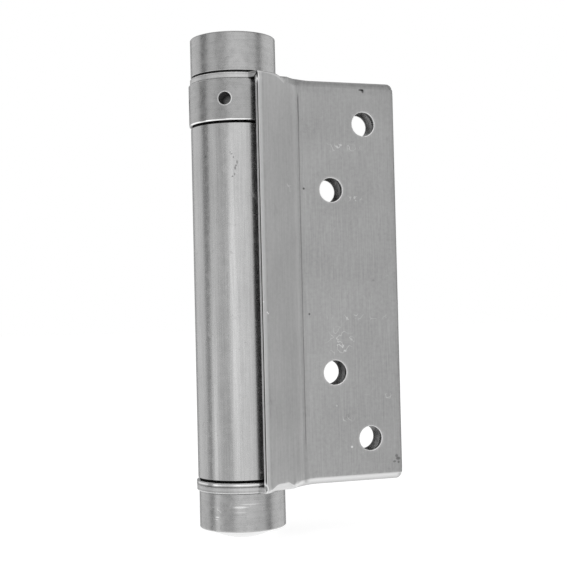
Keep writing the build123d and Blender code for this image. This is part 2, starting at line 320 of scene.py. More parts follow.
    def material(self) -> bpy.types.Material:
        """Builds the material: noises drive colour, roughness and bump, and wear, with its painted highlight
        and shade, changes all three.

        Returns:
            The material.
        """
        made = bpy.data.materials.new(self.name)
        tree = bare_tree(made)
        across, along = 1000 / self.line_mm, 1000 / self.run_mm
        stretch = {
            Grain.ALONG_PIN: (across, across, along),
            Grain.ROUND_PIN: (along, along, across),
            Grain.NONE: (across, across, across),
        }[self.grain]
        at = add(tree, "TexCoord").outputs["Object"]
        lined = add(tree, "Mapping", {"Scale": stretch}, {"Vector": at})
        lines = add(tree, "TexNoise", {"Scale": 1.0, "Detail": 2.0, "Roughness": 0.6}, {"Vector": lined})
        clouds = add(tree, "TexNoise", {"Scale": 1000 / self.cloud_mm, "Detail": 4.0, "Roughness": 0.65},
                     {"Vector": at})
        rubbed = add(tree, "TexNoise", {"Scale": 1000 / self.scuff_mm, "Detail": 6.0, "Roughness": 0.7,
                                        "Distortion": 0.8}, {"Vector": at})
        scuffs = add(tree, "MapRange", {1: 0.62, 2: 0.72, 3: 0.0, 4: self.scuff_amount}, {0: rubbed})
        hairs, pits = (add(tree, "Math", {"operation": "MULTIPLY", 1: self.scratch}, {0: mark})
                       for mark in self.marks(tree, at))
        wear_and_light = self.wear_and_light(tree, at)
        # Above 0 the mesh's value mixes in rubbed metal and painted highlight, below 0 rough metal and
        # painted shade; hairlines and pits are real marks.
        burnish_and_highlight = add(tree, "MapRange", {1: 0.0, 2: 1.0, 3: 0.0, 4: 1.0}, {0: wear_and_light})
        polish_and_highlight = add(tree, "Math", {"operation": "MAXIMUM"}, {0: burnish_and_highlight, 1: hairs})
        breakage_and_shade = add(tree, "MapRange", {1: -1.0, 2: 0.0, 3: 1.0, 4: 0.0}, {0: wear_and_light})
        damage_and_shade = add(tree, "Math", {"operation": "MAXIMUM"}, {0: breakage_and_shade, 1: pits})
        bright = add(tree, "Mix", {"data_type": "RGBA", 7: linear(self.bright_metal_and_highlight)},
                     {0: polish_and_highlight, 6: self.tone(tree, at, lines, clouds)})
        worn_and_shaded = add(tree, "Mix", {"data_type": "RGBA", 7: linear(self.dark_metal_and_shade)},
                   {0: damage_and_shade, 6: bright.outputs[2]})
        smooth, dull = self.roughness - self.rough_swing, self.roughness + self.rough_swing
        clouded = add(tree, "MapRange", {1: 0.3, 2: 0.7, 3: smooth, 4: dull}, {0: clouds})
        scuffed = add(tree, "Math", {"operation": "ADD"}, {0: clouded, 1: scuffs})
        rough = add(tree, "Math", {"operation": "MULTIPLY_ADD", 1: -self.polish_gain},
                    {0: polish_and_highlight, 2: scuffed})
        height = add(tree, "Math", {"operation": "SUBTRACT"}, {0: lines, 1: pits})
        bump = add(tree, "Bump", {"Strength": self.line_depth, "Distance": self.bump_mm * MM},
                   {"Height": height})
        steel = add(tree, "BsdfPrincipled", {"Metallic": 1.0},
                    {"Base Color": worn_and_shaded.outputs[2], "Roughness": rough, "Normal": bump})
        add(tree, "OutputMaterial", None, {"Surface": steel})
        return made


@dataclass(frozen=True)
class Nylon:
    """Moulded black nylon: a slight sheen with a fine moulded grain."""

    name: str
    colour: str
    roughness: float
    sheen: float = 0.12
    grain_mm: float = 0.5
    bump_mm: float = 0.05
    rough_swing: float = 0.08

    def material(self) -> bpy.types.Material:
        """Builds the material: a fine noise drives bump and roughness.

        Returns:
            The material.
        """
        made = bpy.data.materials.new(self.name)
        tree = bare_tree(made)
        grain = add(tree, "TexNoise", {"Scale": 1000 / self.grain_mm, "Detail": 2.0},
                    {"Vector": add(tree, "TexCoord").outputs["Object"]})
        smooth, dull = self.roughness - self.rough_swing, self.roughness + self.rough_swing
        rough = add(tree, "MapRange", {1: 0.0, 2: 1.0, 3: smooth, 4: dull}, {0: grain})
        bump = add(tree, "Bump", {"Strength": 0.2, "Distance": self.bump_mm * MM}, {"Height": grain})
        nylon = add(tree, "BsdfPrincipled",
                    {"Base Color": linear(self.colour), "IOR": 1.53, "Specular IOR Level": self.sheen},
                    {"Roughness": rough, "Normal": bump})
        add(tree, "OutputMaterial", None, {"Surface": nylon})
        return made


def on_flange(depth_mm: float, *marks: tuple[float, float, float, float, float]) -> tuple[Spot, ...]:
    """Makes spots on the outer face of the frame leaf's flange.

    Args:
        depth_mm: How deep they go.
        marks: Place along the leaf, height, width, tallness and amount of each.

    Returns:
        The spots.
    """
    return tuple(Spot((x, 0, z), (wide, depth_mm, tall), amount) for x, z, wide, tall, amount in marks)


def at_bar_holes(radius: float, size: float, amount: float, ring: float = 0.0) -> tuple[Spot, ...]:
    """Makes a round spot at each of the collar's five bar holes.

    Args:
        radius: Its distance from the pin's axis in millimetres.
        size: Its size in millimetres.
        amount: Its amount.
        ring: Its ring.

    Returns:
        The spots.
    """
    middle, level = PIN / MM, 44.1
    turns = [math.radians(-118.3 + 72 * i) for i in range(5)]
    places = [(middle[0] + radius * math.cos(t), middle[1] + radius * math.sin(t), level) for t in turns]
    return tuple(Spot(place, (size,) * 3, amount, ring) for place in places)


# Stainless steel sheet with a belt-ground satin face: soft, even reflections and fine lines along the pin.
SATIN_SHEET = Steel(
    "satin_stainless_sheet", "#acacac", "#989898", 0.44, Grain.ALONG_PIN, line_tone=0.34, run_mm=9.0,
    cloud_mm=0.9,
    spots=on_flange(
        0.5, (4.3, 48.2, 0.9, 0.35, -0.8), (4.7, 47.9, 0.4, 0.6, -0.7), (11.5, -44.3, 0.5, 0.5, -0.5),
        (11.9, -45.0, 0.8, 0.5, -0.55), (10.9, -45.7, 0.6, 0.35, -0.45), (12.0, -45.9, 0.4, 0.4, -0.5),
        (-11.8, 23.0, 0.35, 0.35, -0.8), (-11.1, -8.1, 0.3, 0.35, -0.7), (-13.7, -34.8, 0.3, 0.35, 0.8),
        (-0.6, -41.4, 0.35, 0.35, 0.8), (-4.4, -31.0, 0.3, 0.3, 0.35))
    + (Spot((-24.2, -6.5, -7.45), (0.3, 0.3, 0.25), 0.8), Spot((-23.9, -6.4, -7.75), (0.3, 0.3, 0.25), 0.8),
       Spot((-25.2, -7.1, -4.9), (0.25, 0.3, 0.25), 0.7)),
    scribbled=on_flange(
        1.0, (-3.2, 33.5, 9.0, 1.2, 1.0), (1.6, 20.6, 3.0, 1.0, 1.0), (1.9, -9.1, 11.0, 1.0, 1.0),
        (-3.1, -15.2, 4.5, 4.5, 1.3), (9.0, -29.2, 2.4, 0.9, 1.0), (-1.8, -34.4, 2.4, 0.9, 1.0))
    + (Spot((-16.7, -1.2, 23.6), (1.6, 2, 4.0)),))
# The same sheet after rolling: smoother, so the barrel shows bright and dark bands along the pin.
ROLLED_BARREL = Steel(
    "rolled_stainless_barrel", "#b8b8b8", "#a6a6a6", 0.26, Grain.ALONG_PIN, line_mm=0.3,
    spots=tuple(Spot(*mark) for mark in (
        ((-30.1, -4.0, 28.7), (0.22, 0.3, 0.7), -0.6), ((-30.35, -3.9, 27.9), (0.3, 0.3, 0.3), -0.5),
        ((-30.55, -3.8, 27.3), (0.22, 0.3, 0.6), -0.6), ((-30.9, -3.6, 29.9), (0.2, 0.3, 0.3), -0.5),
        ((-31.3, -3.5, 30.7), (0.3, 0.3, 0.15), -0.6), ((-31.6, -3.3, 31.1), (0.2, 0.3, 0.2), -0.5),
        ((-30.7, -3.7, 25.8), (0.2, 0.3, 0.4), -0.5), ((-31.2, -3.6, 25.3), (0.25, 0.4, 0.2), -0.6))))
# Stainless steel bar, fine turned: banded like the barrel, with lines round the pin. The lower cap is
# rubbed.
TURNED_BAR = Steel(
    "turned_stainless_bar", "#b0b0b0", "#9c9c9c", 0.28, Grain.ROUND_PIN, line_tone=0.25,
    spots=tuple(Spot(*mark) for mark in (
        ((-31.1, -3.4, -53.65), (2.4, 1.6, 0.3), 0.55), ((-28.8, -4.0, -53.0), (3.4, 1.4, 0.16), 0.35),
        ((-31.1, -3.4, -54.9), (2.0, 1.4, 0.14), 0.4), ((-35.8, 0.1, -56.1), (0.7, 0.9, 0.14), 0.6),
        ((-35.9, 0.2, -56.7), (0.5, 0.7, 0.12), 0.6), ((-36.5, 1.1, -53.8), (0.5, 0.9, 0.14), 0.5))),
    scribbled=(Spot((-32.0, -3.2, -53.2), (5.0, 4, 0.8)), Spot((-35.5, -0.5, -54.6), (2.0, 2, 0.8))))
# The collar is turned from the same bar, a little darker at the front.
# Painted highlight line round it low down, painted highlights on the bar holes' rims and inside, and painted
# shade deeper in.
COLLAR_BAR = Steel(
    "turned_collar", "#b0b0b0", "#9c9c9c", 0.28, Grain.ROUND_PIN, line_tone=0.25, bright_metal_and_highlight="#ffffff",
    painted_light_bands=((38.98, 0.14, 1.0),), painted_shade_within_mm=10.85,
    spots=(Spot((-30.2, -4.3, 42.0), (5.0, 3.0, 14.0), -0.17),) + at_bar_holes(11.15, 0.2, 0.5, 1.64 / 0.2)
    + at_bar_holes(6.15, 1.7, 0.4))
# The ring is turned too: a painted highlight line on it, and painted shade where it meets the ear.
RING_BAR = Steel("turned_ring", "#b0b0b0", "#9c9c9c", 0.28, Grain.ROUND_PIN, line_tone=0.25,
                 painted_light_bands=((-48.36, 0.08, 0.7), (-48.84, 0.14, -0.75)))
# Polished stainless steel: the domed head mirrors the white round it.
BRIGHT_HEAD = Steel("polished_stainless_head", "#f0f0f0", "#e6e6e6", 0.12, Grain.ROUND_PIN,
                    line_depth=0.1, scuff_amount=0.1)
# Hard-drawn spring steel wire under oil: dark grey with a dull gleam.
SPRING_WIRE = Steel("oiled_spring_wire", "#6a6a6a", "#505050", 0.35, Grain.NONE, line_mm=0.8)
# Moulded nylon 6 with carbon black: matt, near black, so the bushes read as thin dark lines.
BLACK_NYLON = Nylon("moulded_black_nylon", "#040404", 0.72)


@dataclass(frozen=True)
class Panel:
    """A panel that only reflections show: part of an upright cylinder about the pin.

    Its side is in degrees about the pin, counted from the camera's side, and its spread in degrees is
    what it covers. Its level is its radiance as the metal sees it, where the white surround is 1. Its
    lower and upper edges and its distance from the pin are in metres.
    """

    name: str
    side: float
    spread: float
    level: float
    low: float = -0.6
    high: float = 0.6
    radius: float = 0.9
    steps: int = 12

    def build(self, front: float) -> None:
        """Stands the panel up.

        Args:
            front: The camera's direction from the pin, in radians.
        """
        off = np.linspace(-self.spread / 2, self.spread / 2, self.steps + 1)
        turn = front + np.radians(self.side + off)
        ring = PIN[:2] + self.radius * np.stack([np.cos(turn), np.sin(turn)], 1)
        points = np.concatenate([np.c_[ring, np.full(len(ring), z)] for z in (self.low, self.high)])
        count = np.arange(self.steps)
        faces = np.stack([count, count + 1, count + self.steps + 2, count + self.steps + 1], 1)
        mesh = bpy.data.meshes.new(self.name)
        mesh.from_pydata(points.tolist(), [], faces.tolist())
        made = placed(self.name, mesh)
        cloth = bpy.data.materials.new(self.name)
        tree = bare_tree(cloth)
        face = add(tree, "Emission", {"Color": linear("#ffffff"), "Strength": self.level})
        add(tree, "OutputMaterial", None, {"Surface": face})
        mesh.materials.append(cloth)
        made.visible_camera = False
        made.visible_diffuse = False
        made.visible_shadow = False


@dataclass
class Studio:
    """The white studio: a pale floor, a soft lamp, panels for the metal to reflect, the camera.

    Lengths are in metres and turns in radians. The panels go round from the camera's left to its right.
    """

    floor_side: float = 8.0
    floor_glow: float = 0.7
    surround_light: float = 0.6
    lens_mm: float = 74.208
    eye: tuple[float, float, float] = (-0.1119996, -0.2707188, -0.0083628)
    yaw: float = 0.33528326
    pitch: float = 0.02763017
    roll: float = -0.02347023
    lamp_turn: float = math.radians(-107)
    lamp_out: float = 0.4
    lamp_up: float = 1.2
    lamp_side: float = 1.0
    lamp_level: float = 0.6
    panels: tuple[Panel, ...] = (
        Panel("far_left_flag", -162, 34, 0.45, low=-0.25),
        Panel("upper_left_flag", -84.5, 23, 0.3, low=0.09),
        Panel("left_flag", -87, 20, 0.36, low=0.0, high=0.09),
        Panel("lower_left_flag", -88, 17, 0.45, high=0.0),
        Panel("low_left_strip", -70, 11, 1.65, high=-0.03),
        Panel("high_left_screen", -32, 32, 0.72, low=0.14),
        Panel("mid_left_screen", -38, 30, 0.8, high=0.14),
        Panel("front_sheet", 13, 40, 1.2),
        Panel("front_window", -12, 14, 1.8, low=-0.16, high=0.14, radius=0.85),
        Panel("right_flag", 73, 18, 0.42),
        Panel("right_sheet", 106, 28, 1.12),
        Panel("far_right_flag", 160, 30, 0.35, low=-0.25),
        Panel("ceiling_flag", 45, 110, 0.65, low=0.6, high=1.8, radius=1.0),
    )

    def camera(self) -> None:
        """Makes the camera from its place and its three turns.

        It looks along (sin yaw cos pitch, cos yaw cos pitch, sin pitch), then rolls about that line.
        """
        ahead = Vector((math.sin(self.yaw) * math.cos(self.pitch),
                        math.cos(self.yaw) * math.cos(self.pitch), math.sin(self.pitch)))
        right = Vector((math.cos(self.yaw), -math.sin(self.yaw), 0.0))
        up = right.cross(ahead)
        side = math.cos(self.roll) * right + math.sin(self.roll) * up
        top = -math.sin(self.roll) * right + math.cos(self.roll) * up
        data = bpy.data.cameras.new("camera")
        data.sensor_width = 36.0
        data.lens = self.lens_mm
        data.clip_start = 0.01
        data.clip_end = 50.0
        made = placed("camera", data)
        turn = Matrix((side, top, -ahead)).transposed()
        made.matrix_world = Matrix.Translation(self.eye) @ turn.to_4x4()
        bpy.context.scene.camera = made

    def seen_white(self, tree: Tree) -> Source:
        """Gives 1 for the rays that show the background: camera, glossy and transmission rays.

        Args:
            tree: The node tree of a material or the world.

        Returns:
            The value.
        """
        path = add(tree, "LightPath")
        shown = add(tree, "Math", {"operation": "MAXIMUM"},
                    {0: path.outputs["Is Camera Ray"], 1: path.outputs["Is Glossy Ray"]})
        return add(tree, "Math", {"operation": "MAXIMUM"}, {0: shown, 1: path.outputs["Is Transmission Ray"]})

    def world(self) -> None:
        """Sets the world: white where it is seen, a little lower where it only lights."""
        world = bpy.data.worlds.new("white_surround")
        bpy.context.scene.world = world
        tree = bare_tree(world)
        lights, shown = (add(tree, "Background", {"Color": linear("#ffffff"), "Strength": strength})
                         for strength in (self.surround_light, 1.0))
        mix = add(tree, "MixShader", None, {0: self.seen_white(tree), 1: lights, 2: shown})
        add(tree, "OutputWorld", None, {"Surface": mix})

    def floor(self) -> None:
        """Makes the pale floor that the hinge stands on. It shows white, less the hinge's shadow."""
        half, low = self.floor_side / 2, min(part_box(n)[0].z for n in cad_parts)
        mesh = bpy.data.meshes.new("floor")
        corners = [(-half, -half, low), (half, -half, low), (half, half, low), (-half, half, low)]
        mesh.from_pydata(corners, [], [(0, 1, 2, 3)])
        made = placed("floor", mesh)
        pale = bpy.data.materials.new("pale_floor")
        tree = bare_tree(pale)
        matt = add(tree, "BsdfDiffuse", {"Color": linear("#c8c8c8")})
        dark, glow = (add(tree, "Emission", {"Color": linear("#ffffff"), "Strength": strength})
                      for strength in (0.0, self.floor_glow))
        shown = add(tree, "MixShader", None, {0: self.seen_white(tree), 1: dark, 2: glow})
        both = add(tree, "AddShader", None, {0: matt, 1: shown})
        add(tree, "OutputMaterial", None, {"Surface": both})
        mesh.materials.append(pale)
        made.visible_glossy = False

    def lamp(self) -> None:
        """Hangs the soft lamp, a square that faces the hinge. Its level is a radiance, where 1 is white."""
        data = bpy.data.lights.new("overhead_softbox", "AREA")
        data.shape = "RECTANGLE"
        data.size = data.size_y = self.lamp_side
        data.energy = self.lamp_level * self.lamp_side * self.lamp_side * math.pi
        made = placed("overhead_softbox", data)
        place = Vector((PIN[0] + self.lamp_out * math.cos(self.lamp_turn),
                        PIN[1] + self.lamp_out * math.sin(self.lamp_turn), self.lamp_up))
        facing = (Vector((PIN[0], PIN[1], 0.0)) - place).to_track_quat("-Z", "Y")
        made.matrix_world = Matrix.Translation(place) @ facing.to_matrix().to_4x4()
        made.visible_camera = False

    def build(self) -> None:
        """Sets up the whole studio."""
        self.world()
        self.floor()
        self.lamp()
        front = math.atan2(self.eye[1] - PIN[1], self.eye[0] - PIN[0])
        for panel in self.panels:
            panel.build(front)
        self.camera()
        bpy.context.scene.view_settings.view_transform = "Standard"


def dressed_in(finish: Steel | Nylon) -> bpy.types.Material:
    """Gives a finish's material, made once."""
    return bpy.data.materials.get(finish.name) or finish.material()


def ease(t: np.ndarray) -> np.ndarray:
    """Goes from 0 to 1 with no slope at either end: 3t^2 - 2t^3, held outside 0 to 1."""
    held = np.clip(t, 0.0, 1.0)
    return held * held * (3 - 2 * held)


def hump(t: np.ndarray) -> np.ndarray:
    """A bell: 1 at t = 0, falling as exp(-t^2)."""
    return np.exp(-np.square(t))


def pairs(s: np.ndarray | float, p: np.ndarray | float) -> np.ndarray:
    """Puts two measures side by side: points on a blank."""
    return np.stack(np.broadcast_arrays(s, p), -1)


def unit(v: np.ndarray) -> np.ndarray:
    """Scales vectors, along the last axis, to a length of 1."""
    return v / np.linalg.norm(v, axis=-1, keepdims=True)


def stretches(*parts: tuple[float, float, int]) -> np.ndarray:
    """Joins even stretches of grid lines, each given by its start, end and count, with no line twice."""
    return np.unique(np.round(np.concatenate([np.linspace(*part) for part in parts]), 6))


@dataclass(frozen=True)
class Twist:
    """How a piece turns when it crosses a joint: with one body up to a level, with another past the next."""

    lower: str
    upper: str
    start_mm: float
    end_mm: float


class Skin:
    """Collects grids of points into one mesh. Points are millimetres about the pin, charts are too."""

    def __init__(self) -> None:
        """Starts with nothing in it."""
        self.points: list[np.ndarray] = []
        self.charts: list[np.ndarray] = []
        self.wear_and_light: list[np.ndarray] = []
        self.faces: list[np.ndarray] = []
        self.count = 0

    def grid(self, points: np.ndarray, chart: np.ndarray | None = None,
             wear_and_light: np.ndarray | float = 0.0, keep: np.ndarray | None = None) -> None:
        """Adds a grid of points, joined by four-sided faces.

        Args:
            points: Rows by columns by 3.
            chart: Rows by columns by 2, where each point lies on the unrolled surface.
            wear_and_light: Rows by columns, from -1 for rough dark metal and painted shade to 1 for rubbed
                metal and painted highlight.
            keep: Which cells get a face, all of them if it is left out.
        """
        rows, columns = points.shape[:2]
        if chart is None:
            chart = points[..., :2]
        number = np.arange(rows * columns).reshape(rows, columns) + self.count
        cells = np.stack([number[:-1, :-1], number[1:, :-1], number[1:, 1:], number[:-1, 1:]], -1)
        cells = cells.reshape(-1, 4) if keep is None else cells[keep]
        self.points.append(points.reshape(-1, 3))
        self.charts.append(np.broadcast_to(chart, (rows, columns, 2)).reshape(-1, 2))
        self.wear_and_light.append(np.broadcast_to(wear_and_light, (rows, columns)).reshape(-1))
        self.faces.append(cells)
        self.count += rows * columns

    def build(self, name: str, finish: Steel | Nylon, body: str | Twist, slot: str, node: str,
              sharp: float = 32.0) -> None:
        """Makes the object: merges shared points, turns faces outwards, dresses it, rides it on its body or,
        for a Twist, bakes its place in.

        Args:
            name: Name of the piece.
            finish: Its finish.
            body: The CAD body that carries it, or a Twist naming the two it would twist between, for which
                its place is only baked in.
            slot: The record's material slot. Not used.
            node: The CAD node that it stands for.
            sharp: Angle in degrees past which an edge is shaded sharp.
        """
        points = np.concatenate(self.points) * MM + PIN
        charts = np.concatenate(self.charts) * MM
        faces = np.concatenate(self.faces)
        mesh = bpy.data.meshes.new(name)
        mesh.from_pydata(points.tolist(), [], faces.tolist())
        unrolled = mesh.uv_layers.new(name="unrolled")
        unrolled.data.foreach_set("uv", charts[faces.ravel()].ravel())
        wear_and_light = mesh.attributes.new("wear_and_light", "FLOAT", "POINT")
        wear_and_light.data.foreach_set("value", np.concatenate(self.wear_and_light).astype(np.float32))
        work = bmesh.new()
        work.from_mesh(mesh)
        bmesh.ops.remove_doubles(work, verts=work.verts, dist=MERGE)
        bmesh.ops.dissolve_degenerate(work, edges=work.edges, dist=MERGE / 2)
        bmesh.ops.delete(work, geom=[edge for edge in work.edges if not edge.link_faces], context="EDGES")
        bmesh.ops.recalc_face_normals(work, faces=work.faces)
        open_edges = sum(1 for edge in work.edges if len(edge.link_faces) != 2)
        work.to_mesh(mesh)
        work.free()
        mesh.polygons.foreach_set("use_smooth", np.ones(len(mesh.polygons), bool))
        mesh.set_sharp_from_angle(angle=math.radians(sharp))
        made = placed(name, mesh)
        mesh.materials.append(dressed_in(finish))
        if isinstance(body, Twist):
            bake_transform(made)
        else:
            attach(made, body)
        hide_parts(node)
        log.info("%s: %d faces, %d open edges, %s", name, len(mesh.polygons), open_edges, finish.name)


@dataclass(frozen=True)
class Wrinkle:
    """A small swelling of the outer face: its rise, its place s and p, and its half width and length there.

    It leans: its middle moves across by `lean` for each millimetre along.
    """

    rise: float
    s: float
    p: float
    wide: float
    long: float
    lean: float = 0.0

    def at(self, s: np.ndarray, p: np.ndarray) -> np.ndarray:
        """Gives the swelling at places s and p: its rise times a bell each way."""
        off = p - self.p
        return self.rise * hump((s - self.s - self.lean * off) / self.wide) * hump(off / self.long)


@dataclass
class FrameLeaf:
    """The leaf that goes on the frame: flange, concave bend, slanted web, and two ears on bent necks.

    The flat blank has two measures, s across from the pin's side to the free edge, and p along the pin.
    A third, w, is the depth in the sheet: 0 on the outer face and 1 on the inner. `place` bends the
    blank into the finished leaf. Every surface is a grid on the blank. Below, q is p without its sign,
    and low is true at the lower end.
    """

    sheet: float = 1.5
    half: float = 50.0
    web_angle: float = math.radians(30.1)
    web_out: float = 12.89
    face: float = 6.5
    reach: float = 40.5
    bend: float = 5.0
    lip: float = -5.03
    neck: float = 5.8
    inset: float = 1.6
    ear_radius: tuple[float, float] = (10.76, 11.1)
    ear_level: tuple[float, float] = (50.5, 50.5)
    spindle_hole: float = 4.03
    sharp_fold: tuple[float, float] = (0.45, 0.85)
    joined: float = 2.9
    plain_to: float = 46.0
    neck_blend: float = 2.2
    least_round: float = 0.25
    screw_hole: float = 3.0
    sink: float = 4.2
    plain_bore: float = 0.3
    holes: tuple[tuple[float, float], ...] = ((22.85, 22.75), (31.95, 39.5))
    patch: float = 6.0
    tool_line: float = 9.3
    wrinkles: tuple[Wrinkle, ...] = (
        Wrinkle(0.03, 4.4, 47.6, 0.35, 1.0, -0.25), Wrinkle(0.03, 3.94, 45.2, 0.3, 0.9, 0.2),
        Wrinkle(0.07, 5.2, -48.3, 0.4, 1.0), Wrinkle(-0.06, 4.2, -48.7, 0.35, 0.8))

    def __post_init__(self) -> None:
        """Works out the blank's own measures from the sizes."""
        a = self.web_angle
        self.along = np.array((math.cos(a), math.sin(a)))
        self.away = np.array((math.sin(a), -math.cos(a)))
        self.crossing = (self.web_out * math.cos(a) - self.face) / math.sin(a)
        tangent = self.bend * math.tan(a / 2)
        self.bend_from = self.crossing - tangent
        self.bend_to = self.bend_from + self.bend * a
        self.flat_x = self.web_out * math.sin(a) + self.crossing * math.cos(a) + tangent
        self.shift = self.bend_to - self.flat_x
        self.end = self.reach + self.shift
        self.last = self.half - self.inset
        self.fold_end = self.last + 3.0
        self.ear_from = self.fold_end + 0.6
        self.pin_p = self.ear_from + self.web_out - self.joined

    def plan(self, s: np.ndarray, ear: np.ndarray) -> tuple[np.ndarray, np.ndarray]:
        """Gives the outer face's line in plan, and its normal.

        The web is straight, and goes straight on in an ear. The bend is an arc whose centre is on the
        camera's side, so its direction falls from the web's angle to 0 as s / radius. The flange is
        straight.

        Args:
            s: Places across.
            ear: Which of them are in an ear.

        Returns:
            The points and the normals, two measures each.
        """
        turned = np.where(ear, self.web_angle, np.clip(
            self.web_angle - (s - self.bend_from) / self.bend, 0, self.web_angle))
        normal = np.stack([np.sin(turned), -np.cos(turned)], -1)
        on_web = np.where(ear, s, np.minimum(s, self.bend_from))
        straight = self.web_out * self.away + on_web[..., None] * self.along
        past_bend = np.where(ear, 0, np.maximum(s - self.bend_to, 0))
        return straight + self.bend * (self.away - normal) + past_bend[..., None] * (1.0, 0.0), normal

    def fold(self, s: np.ndarray, low: np.ndarray) -> tuple[np.ndarray, np.ndarray]:
        """Gives the ear's level and the outer radius of the neck's bend.

        The bend is tight at the web's cut edge and opens towards the end of the leaf: evenly at the
        upper ear, which also rises a little, and soon at the lower one.

        Args:
            s: Places across.
            low: Whether each is at the lower end.

        Returns:
            The level and the radius at each place.
        """
        across = np.clip((s - self.lip - self.inset) / (self.neck - self.lip - 2 * self.inset), 0, 1)
        swell = 0.3 * ease(across * 1.4) * (1 - 0.8 * ease((s - 2.6) / 1.6))
        level = np.where(low, self.ear_level[1], self.ear_level[0] + swell)
        upper = self.sharp_fold[0] + 1.75 * across ** 2.2
        lower = self.sharp_fold[1] + 1.2 * ease((s + 4.2) / 3.6) - 1.2 * ease((s - 2.6) / 2.4)
        return level, np.where(low, lower, upper)

    def crown(self, s: np.ndarray, low: np.ndarray) -> np.ndarray:
        """Gives how far the leaf's end stands past its nominal height: it bulges beside the bend."""
        upper = 0.08 + 0.24 * (1 - ease((s - 9.0) / 3.5))
        return np.where(low, 0.24 * (1 - ease((s - 8.0) / 4.0)), upper)

    def tool_mark(self, s: np.ndarray, p: np.ndarray, width: float) -> np.ndarray:
        """Gives 1 on the line that the press tool leaves beside the bend, which fades at its ends."""
        return hump((s - self.tool_line) / width) * ease((47 - p) / 2) * ease((p + 43) / 4)

    def relief(self, s: np.ndarray, p: np.ndarray) -> np.ndarray:
        """Gives how far the outer face stands out: tool line and ends pressed in, necks wrinkled.

        Args:
            s: Places across.
            p: Places along.

        Returns:
            The rise at each place, in millimetres.
        """
        ends = -0.14 * ease((np.abs(p) - 46.9) / 1.6) * ease((s - self.neck) / 2)
        return -0.07 * self.tool_mark(s, p, 0.1) + sum(wrinkle.at(s, p) for wrinkle in self.wrinkles) + ends

    def place(self, s: np.ndarray, p: np.ndarray, w: np.ndarray | float) -> np.ndarray:
        """Bends the blank.

        Up to `last` the blank stands upright. From there to `fold_end` it goes round a quarter turn,
        whose outer radius is r and inner radius r less the sheet, but never under a quarter of a
        millimetre. Past that it lies level, at a distance from the web that grows with p.
        Beyond the neck the blank stays upright to its end, and the two forms are blended between.

        Args:
            s: Places across.
            p: Places along.
            w: Depths.

        Returns:
            The bent points, in millimetres about the pin.
        """
        s, p, w = np.broadcast_arrays(np.asarray(s, float), np.asarray(p, float), np.asarray(w, float))
        low, q = p < 0, np.abs(p)
        level, radius = self.fold(s, low)
        plain, neck_blend = self.plain_to, self.neck_blend
        turn = np.clip((q - self.last) / (self.fold_end - self.last), 0, 1) * QUARTER
        rise = np.clip((q - plain) / (self.last - plain), 0, 1)
        slide = np.clip((q - self.fold_end) / (self.ear_from - self.fold_end), 0, 1)
        upright = ease((s - self.neck + neck_blend) / neck_blend) * (1 - ease((q - self.half) / 2))
        end = np.minimum(q, self.half) + self.crown(s, low) * ease((q - plain + 2) / 6)

        def shell(top: np.ndarray, round_r: np.ndarray, depth: float) -> tuple[np.ndarray, np.ndarray]:
            """Gives one face of the fold.

            Args:
                top: The ear's level on that face.
                round_r: The bend's radius on that face.
                depth: How far inside the web's outer plane the face lies.

            Returns:
                The distance out from the web's outer plane, and the height.
            """
            out = -depth - round_r * (1 - np.cos(turn))
            out = out + slide * (-self.joined - out) - np.maximum(q - self.ear_from, 0)
            high = np.minimum(q, plain) + rise * (top - round_r - plain) + round_r * np.sin(turn)
            return out * (1 - upright) - depth * upright, high * (1 - upright) + end * upright

        out_0, high_0 = shell(level, radius, 0.0)
        inner_r = np.maximum(radius - self.sheet, self.least_round)
        out_1, high_1 = shell(level - self.sheet, inner_r, self.sheet)
        out = out_0 * (1 - w) + out_1 * w + self.relief(s, p) * (1 - w)
        high = high_0 * (1 - w) + high_1 * w
        line, normal = self.plan(s, q > self.half)
        return np.concatenate([line + normal * out[..., None], np.where(low, -high, high)[..., None]], -1)

    def lay(self, skin: Skin, blank: np.ndarray, w: np.ndarray | float, wear_and_light: np.ndarray | float = 0.0,
            keep: np.ndarray | None = None) -> None:
        """Adds a grid of the blank's points, bent into place.

        Args:
            skin: Where it goes.
            blank: Rows by columns by 2.
            w: Depths.
            wear_and_light: The wear.
            keep: Which cells get a face.
        """
        skin.grid(self.place(blank[..., 0], blank[..., 1], w), blank, wear_and_light, keep)

    def lines(self) -> tuple[np.ndarray, np.ndarray]:
        """Gives the blank's grid lines: finer beside the tool line, with a square of them round each hole.

        Returns:
            The lines across and the lines along.
        """
        inner_l, inner_r, outer_l, outer_r = (
            x + side * self.patch + self.shift for x, _ in self.holes for side in (-1, 1))
        groove = [self.tool_line + step for step in (-0.3, -0.18, -0.1, -0.05, 0, 0.05, 0.1, 0.18, 0.3)]
        across = stretches(
            (self.lip + self.inset, self.neck - self.inset, 26),
            (self.neck - self.inset, self.bend_from, 13),
            (self.bend_from, groove[0], 5), *((s, s, 1) for s in groove), (groove[-1], self.bend_to, 5),
            (self.bend_to, inner_l, 3), (inner_l, outer_l, 11), (outer_l, inner_r, 5),
            (inner_r, outer_r, 11), (outer_r, self.end - self.inset, 3))
        (_, z_in), (_, z_out) = self.holes
        up = stretches(
            (0, z_in - self.patch, 15), (z_in - self.patch, z_in + self.patch, 13),
            (z_in + self.patch, z_out - self.patch, 6), (z_out - self.patch, z_out + self.patch, 13),
            (z_out + self.patch, self.last, 9))
        return across, np.concatenate([-up[:0:-1], up])

